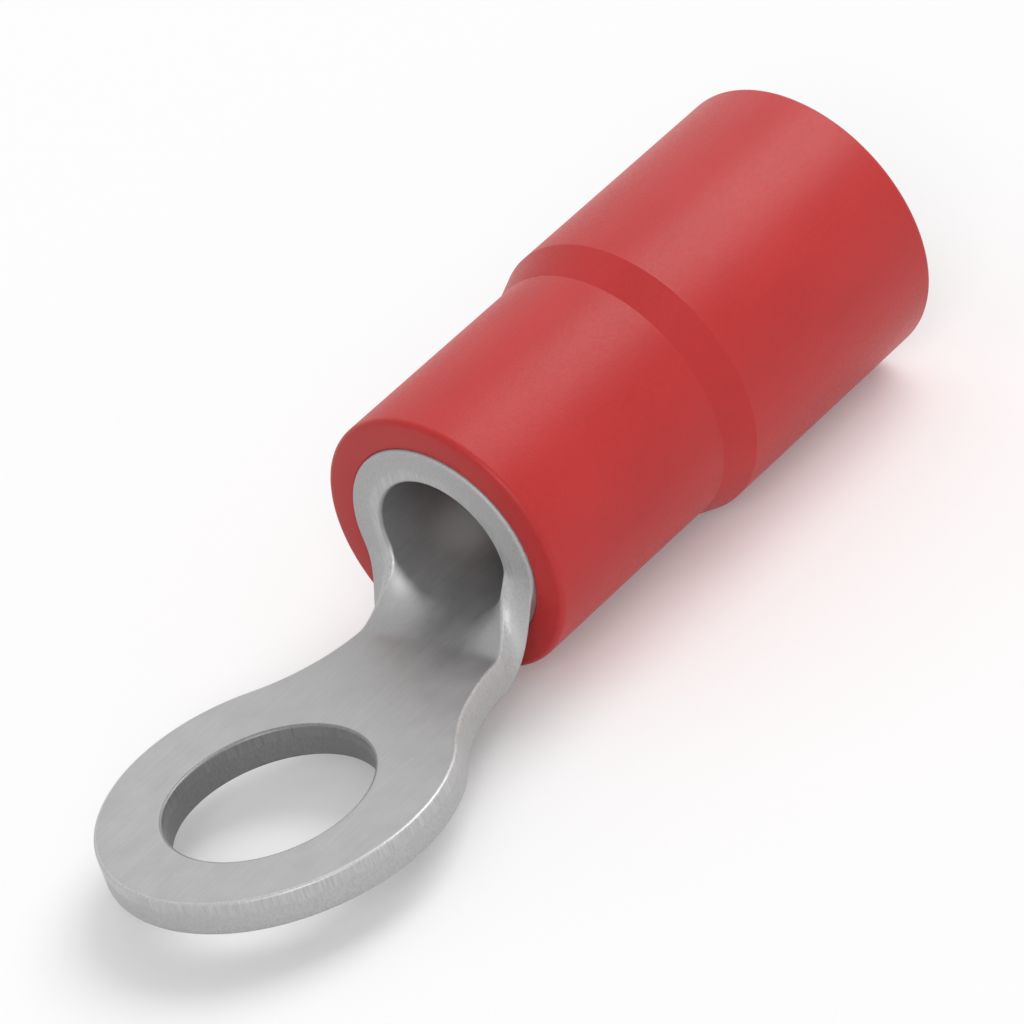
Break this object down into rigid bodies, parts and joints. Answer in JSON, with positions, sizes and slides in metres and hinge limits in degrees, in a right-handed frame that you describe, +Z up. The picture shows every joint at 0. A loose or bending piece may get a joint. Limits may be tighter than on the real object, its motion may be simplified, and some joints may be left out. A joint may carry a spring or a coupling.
{
  "type": "ring terminal",
  "caption": "Insulated crimp ring terminal: a flat ring tongue with a stud hole, a rolled wire barrel and a stepped plastic sleeve with a flared wire entry.",
  "frame": {"origin": "centre of the stud hole, on the underside of the tongue", "axes": "+X along the wire barrel towards the wire entry, +Z up along the stud hole, +Y to the left of +X"},
  "size_m": [0.0161, 0.0054, 0.0048],
  "materials": {
    "tinned_copper": "satin tin plating on rolled copper sheet",
    "red_pvc": "semi-gloss moulded PVC"
  },
  "bodies": {
    "root": {"terminal": "tinned_copper", "insulating_sleeve": "red_pvc"}
  },
  "joints": []
}
